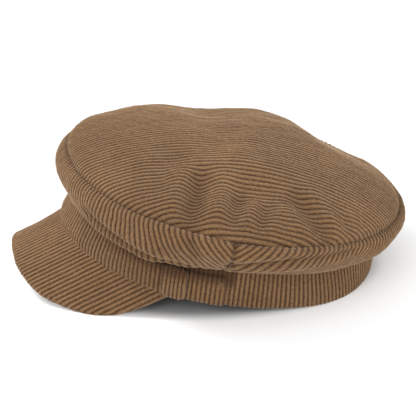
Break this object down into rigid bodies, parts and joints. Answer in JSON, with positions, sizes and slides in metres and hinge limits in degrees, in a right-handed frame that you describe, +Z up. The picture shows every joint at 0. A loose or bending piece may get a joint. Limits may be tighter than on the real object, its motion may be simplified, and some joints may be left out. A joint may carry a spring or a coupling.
{
  "type": "corduroy newsboy cap",
  "caption": "Full round corduroy cap with a soft domed crown, side panels, an oval band, a strap over the root of a short steep peak, and a lined inside.",
  "frame": {"origin": "on the table the cap lies on, under the middle of its overall box", "axes": "+Z up from the table; the peak points to -Y; the wearer's left is +X"},
  "size_m": [0.2366, 0.2688, 0.1065],
  "materials": {
    "corduroy": "brown cotton corduroy, about 8 wales to the inch",
    "lining": "dark brown satin lining",
    "sweatband_cotton": "dark brown cotton twill",
    "interlining": "off-white non-woven",
    "stiffener": "thin flexible board",
    "label_tape": "plain woven tape, blank",
    "thread": "brown sewing thread"
  },
  "bodies": {
    "cap": {"band_back": "corduroy", "band_front": "corduroy", "band_stiffener": "stiffener", "care_label": "label_tape", "crown_interlining": "interlining", "crown_side_back": "corduroy", "crown_side_front": "corduroy", "crown_top": "corduroy", "front_strap": "corduroy", "lining_side": "lining", "lining_top": "lining", "size_label": "label_tape", "strap_end_tacks": "thread", "strap_keeper_left": "corduroy", "strap_keeper_right": "corduroy", "sweatband": "sweatband_cotton", "sweatband_joint_tape": "label_tape"},
    "peak": {"peak_board": "stiffener", "peak_top_cover": "corduroy", "peak_under_cover": "corduroy"}
  },
  "joints": [
    {"name": "peak_flex", "type": "hinge", "parent": "cap", "child": "peak", "pos_m": [0, -0.1011, 0.0366], "axis": [-1, 0, 0], "range_deg": [0, 12], "stiffness_Nm_per_rad": 1}
  ]
}
